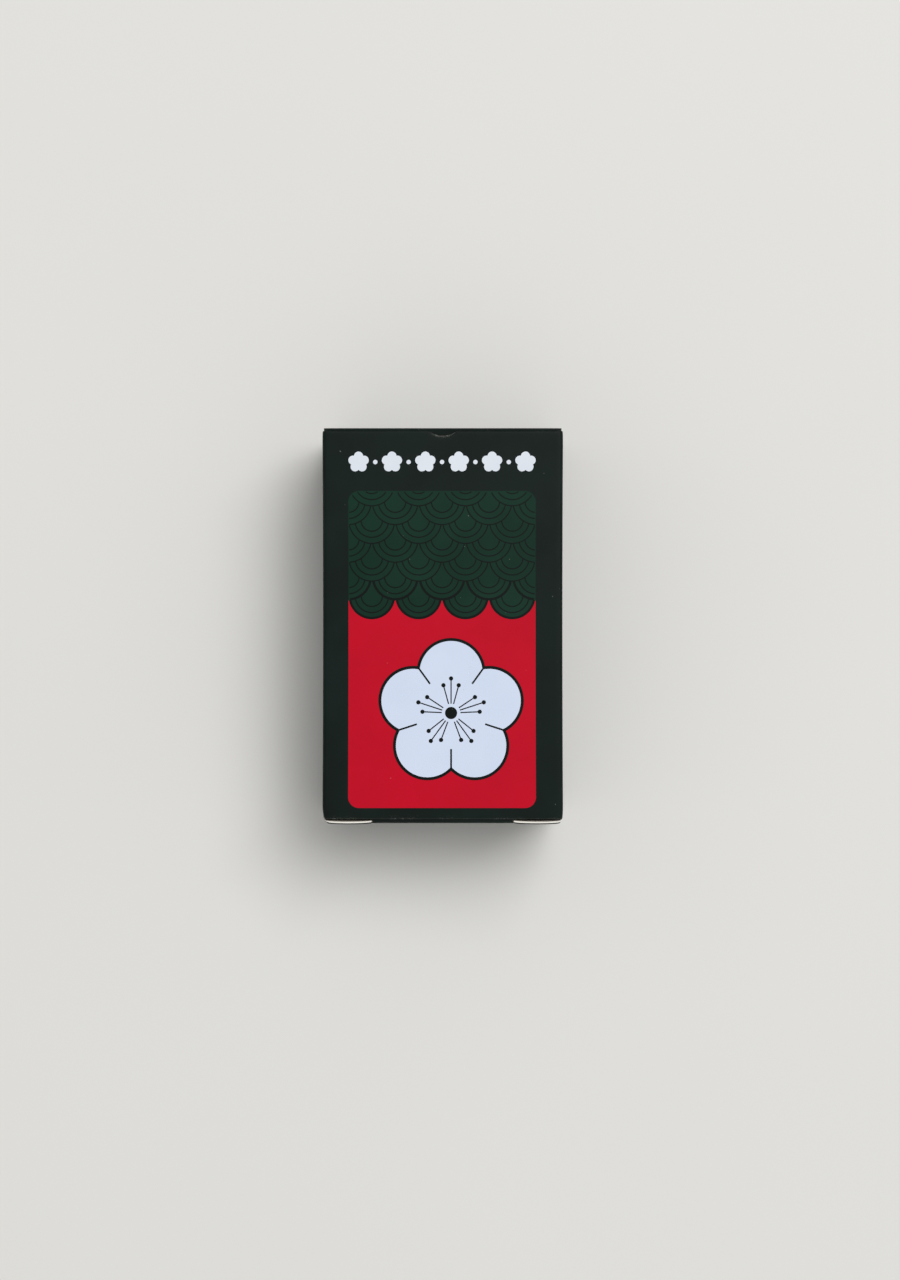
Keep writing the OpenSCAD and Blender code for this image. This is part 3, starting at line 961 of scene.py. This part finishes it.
# The deck: sizes of a card and of its print, and how far cards shift in the stack
CARD_ROUND = 2.0 * MM
CARD_BULGE = 0.4
CARD_STEP = 3 * MM
CARD_STEP_SHARE = 0.15
CARD_SHIFT = 0.12 * MM, 0.04 * MM
SHIFT_SEED = 12
BORDER_W = 1.1 * MM
FINE = 0.06 * MM
RIBBON_RANK = 3
RIBBON_X = -7.0 * MM
RIBBON_HALF_W = 2.4 * MM
RIBBON_HALF_L = 13.0 * MM
SCATTER = 0.3
BLOOM_SHARE, HEART_SHARE, OUTLINE_SHARE = 0.43, 0.10, 0.035
PAPER, INK, RIBBON = srgb(238, 231, 212), srgb(24, 26, 26), srgb(196, 30, 40)
BACK_INK, BACK_THREAD = srgb(30, 28, 28), srgb(38, 35, 34)
CORE_PALE, CORE_DARK = srgb(240, 236, 224), srgb(208, 200, 182)
FACE, BACK, CORE = range(3)
CARD_RIM = (FACE,) + (CORE,) * (RIM_STEPS - 2) + (BACK,)

# The cards' finishes: sizes of their noise, and how much it tells in roughness and relief
CARD_SHINE = 0.3
FACE_GRAIN, FACE_RELIEF = 0.25 * MM, 0.004 * MM
FACE_ROUGH, FACE_GRAIN_ROUGH = 0.42, 0.12
THREAD_W, THREAD_STRETCH, THREAD_RELIEF = 0.18 * MM, 8, 0.01 * MM
BACK_ROUGH, THREAD_ROUGH = 0.5, 0.1
CORE_PITCHES, CORE_STRETCH, CORE_TURN = 1.3, 90, 0.7
CORE_FIBRE, CORE_FIBRE_STRETCH, CORE_RELIEF = 0.05 * MM, 6, 0.01 * MM
CORE_ROUGH = 0.72

# Each month's flower: room for one bloom, petals, how deep they are cut, and colours of bloom and heart
MONTHS = {
    "pine": (11 * MM, 14, 0.16, srgb(30, 84, 52), srgb(20, 48, 34)),
    "plum": (8.5 * MM, 5, 0.26, srgb(200, 34, 50), srgb(240, 204, 92)),
    "cherry": (8 * MM, 5, 0.42, srgb(236, 158, 172), srgb(196, 40, 70)),
    "wisteria": (4 * MM, 4, 0.30, srgb(112, 78, 150), srgb(222, 206, 236)),
    "iris": (10 * MM, 3, 0.62, srgb(74, 66, 158), srgb(240, 204, 92)),
    "peony": (13 * MM, 9, 0.18, srgb(204, 38, 62), srgb(246, 214, 120)),
    "bush_clover": (5 * MM, 3, 0.46, srgb(178, 46, 92), srgb(70, 104, 58)),
    "pampas": (7 * MM, 2, 0.82, srgb(206, 166, 84), srgb(120, 92, 40)),
    "chrysanthemum": (12 * MM, 16, 0.24, srgb(234, 184, 52), srgb(196, 90, 36)),
    "maple": (9 * MM, 7, 0.52, srgb(212, 78, 38), srgb(150, 30, 30)),
    "willow": (6 * MM, 2, 0.86, srgb(98, 140, 84), srgb(52, 84, 50)),
    "paulownia": (10 * MM, 3, 0.34, srgb(116, 72, 128), srgb(84, 120, 70)),
}


def card_face(month, low, high, ribbon):
    """A month's card: blooms scattered over paper in a dark border, some cards with a red strip over them.

    A bloom reaches from the nearest scattered point by its share of the room, less the cut between two
    petals, which follows the cosine of half the petals times the bearing.
    """
    room, petals, cut, bloom_colour, heart_colour = MONTHS[month]
    middle, half = (low + high) / 2, (high - low) / 2

    def paint(place):
        flat = place.vector("MULTIPLY", (1 / room, 1 / room, 0))
        scatter = {"Vector": flat, "Scale": 1.0, "Randomness": SCATTER}
        point = flat.add("TexVoronoi", scatter, output="Position", voronoi_dimensions="2D")
        away = flat.vector("SUBTRACT", point)
        bearing = away.part(0).calc("ARCTAN2", away.part(1))
        wave = (bearing * (petals / 2)).calc("COSINE").calc("ABSOLUTE")
        inside = BLOOM_SHARE * (1 - cut + cut * wave) - away.length()
        x, y = place.part(0), place.part(1)
        from_side = (x - middle[0]).calc("ABSOLUTE") - half[0]
        from_end = (y - middle[1]).calc("ABSOLUTE") - half[1]
        border = from_side.calc("MAXIMUM", from_end).above(-BORDER_W, -BORDER_W + FINE)
        tone = inside.above(-OUTLINE_SHARE, 0).between(PAPER, INK)
        tone = inside.above(0, OUTLINE_SHARE).between(tone, bloom_colour)
        tone = (HEART_SHARE - away.length()).above(0, OUTLINE_SHARE).between(tone, heart_colour)
        if ribbon:
            over = (x - RIBBON_X).calc("ABSOLUTE") - RIBBON_HALF_W
            strip = 0 - over.calc("MAXIMUM", y.calc("ABSOLUTE") - RIBBON_HALF_L)
            tone = strip.above(-2 * FINE, -FINE).between(tone, INK)
            tone = strip.above(0, FINE).between(tone, RIBBON)
        grain = place.noise(FACE_GRAIN)
        return border.between(tone, INK), FACE_ROUGH + FACE_GRAIN_ROUGH * grain, grain, FACE_RELIEF

    return finish(f"{month}_card_face" + "_with_ribbon" * ribbon, paint, Specular_IOR_Level=CARD_SHINE)


def card_back():
    """A plain dark back with a pressed linen grain: threads of noise both ways."""

    def paint(place):
        threads = place.crossed(THREAD_W, 2.0, THREAD_STRETCH)
        tone = threads.above(*MIDDLE_SPAN).between(BACK_INK, BACK_THREAD)
        return tone, BACK_ROUGH + THREAD_ROUGH * threads, threads, THREAD_RELIEF

    return finish("card_back", paint, Specular_IOR_Level=CARD_SHINE)


def card_core(pitch):
    """A cut card edge: pale pressed fibre, each card a little lighter or darker than the next."""

    def paint(place):
        turn = place.noise(CORE_PITCHES * pitch, 1.0, (CORE_STRETCH, CORE_STRETCH, 1)).above(*MIDDLE_SPAN)
        fibres = place.noise(CORE_FIBRE, stretch=(CORE_FIBRE_STRETCH, CORE_FIBRE_STRETCH, 1))
        tone = (CORE_TURN * turn + (1 - CORE_TURN) * fibres).between(CORE_PALE, CORE_DARK)
        return tone, CORE_ROUGH + FIBRE_ROUGH * fibres, fibres, CORE_RELIEF

    return finish("card_core", paint)


def card(node, shift, finishes):
    """A card: columns across it, each between its own ends, drawn in at the corners by a circle's arc."""
    low, high = corners(node)
    middle, half = (low + high) / 2, (high - low) / 2
    half[:2] -= CARD_BULGE * half[2]
    x = spaced(-half[0], half[0], CARD_ROUND, CARD_STEP)
    reach = rounded(half[1], half[0] - np.abs(x), CARD_ROUND)
    y = reach[:, None] * spaced(-1.0, 1.0, EDGE_SHARE, CARD_STEP_SHARE)
    flat = np.stack([np.broadcast_to(x[:, None], y.shape), y, np.zeros(y.shape)], -1) + middle + [*shift, 0]
    rise = half * UP
    patch = board_patch(flat + rise, flat - rise, (CARD_BULGE,) * 4, (CARD_RIM,) * 4, (FACE, BACK))
    made = piece(node.replace("card", "printed_card"), [patch], finishes)
    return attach(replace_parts(made, node), "deck")


def deck():
    """Every card in its place in the stack, none quite in line with the next."""
    nodes = [name for name in frame["nodes"] if name.startswith("card_")]
    nodes.sort(key=lambda node: corners(node)[0][2])
    low, high = corners(nodes[0])
    pitch = corners(nodes[1])[0][2] - low[2]
    back, core = card_back(), card_core(pitch)
    shifts = np.random.default_rng(SHIFT_SEED).uniform(-1, 1, (len(nodes), 2)) * CARD_SHIFT
    faces = {}
    for node, shift in zip(nodes, shifts):
        month, rank = node.removeprefix("card_").rsplit("_", 1)
        look = month, int(rank) == RIBBON_RANK
        if look not in faces:
            faces[look] = card_face(month, low, high, look[1])
        card(node, shift, [faces[look], back, core])


# The stage: a floor that turns into the backdrop's own colour far out, one soft lamp, fill and camera
FILL = 0.45
BACKDROP = srgb(222, 221, 217)
FLOOR_PALE, FLOOR_CLOUDED = srgb(226, 225, 221), srgb(230, 229, 225)
FLOOR_HALF = 4.0
FLOOR_Z = -0.03 * MM
FLOOR_CLOUD, FLOOR_RELIEF = 90 * MM, 0.01 * MM
FLOOR_ROUGH, FLOOR_CLOUD_ROUGH = 0.85, 0.02
FLOOR_FADE = 0.3, 1.2
KEY_AT = 0.58, 0.66, 1.70
KEY_SIZE = 1.1
KEY_POWER = 23.0
CAMERA_LENS = 69.2
CAMERA_SENSOR = 36.0
CAMERA_NEAR = 10 * MM
CAMERA_X = 1.04 * MM
CAMERA_Y = -2.06 * MM
CAMERA_UP = 352 * MM


def floor():
    """A wide pale floor just under the carton, which takes the backdrop's colour with the distance."""
    square = np.array([[-1, -1], [1, -1], [1, 1], [-1, 1]]) * FLOOR_HALF
    mesh = bpy.data.meshes.new("floor")
    mesh.from_pydata([(x, y, FLOOR_Z) for x, y in square.tolist()], [], [(0, 1, 2, 3)])

    def paint(place):
        cloud = place.noise(FLOOR_CLOUD)
        tone = cloud.between(FLOOR_PALE, FLOOR_CLOUDED)
        return tone, FLOOR_ROUGH + FLOOR_CLOUD_ROUGH * cloud, cloud, FLOOR_RELIEF

    material = finish("pale_floor", paint)
    tree = material.node_tree
    place = Value(tree).add("TexCoord", {}, output="Object")
    away = place.length().above(*FLOOR_FADE)
    glow = place.add("Emission", {"Color": BACKDROP, "Strength": 1.0})
    lit = Value(tree, tree.nodes["Principled BSDF"].outputs[0])
    both = place.add("MixShader", {0: away * shown(tree), 1: lit, 2: glow})
    tree.links.new(both.socket, tree.nodes["Material Output"].inputs["Surface"])
    mesh.materials.append(material)
    placed("floor", mesh)


def lamp(name, place, size, power):
    """A soft square lamp that looks at the carton."""
    light = bpy.data.lights.new(name, "AREA")
    light.shape = "SQUARE"
    light.size, light.energy = size, power
    made = placed(name, light)
    made.location = place
    made.rotation_mode = "QUATERNION"
    made.rotation_quaternion = Vector(place).to_track_quat("Z", "Y")


def stage():
    """Floor, soft light from the upper right and a camera that looks straight down."""
    floor()
    lamp("key_lamp", KEY_AT, KEY_SIZE, KEY_POWER)
    world = bpy.data.worlds.new("studio")
    world.use_nodes = True
    tree = world.node_tree
    colour = shown(tree).between((FILL, FILL, FILL, 1), BACKDROP)
    tree.links.new(colour.socket, tree.nodes["Background"].inputs["Color"])
    scene = bpy.context.scene
    scene.world = world
    scene.view_settings.view_transform = "Standard"
    data = bpy.data.cameras.new("camera")
    data.lens, data.sensor_width = CAMERA_LENS, CAMERA_SENSOR
    data.clip_start = CAMERA_NEAR
    scene.camera = placed("camera", data)
    scene.camera.location = (CAMERA_X, CAMERA_Y, DEPTH + CAMERA_UP)


sleeve()
closures()
front_print()
deck()
stage()
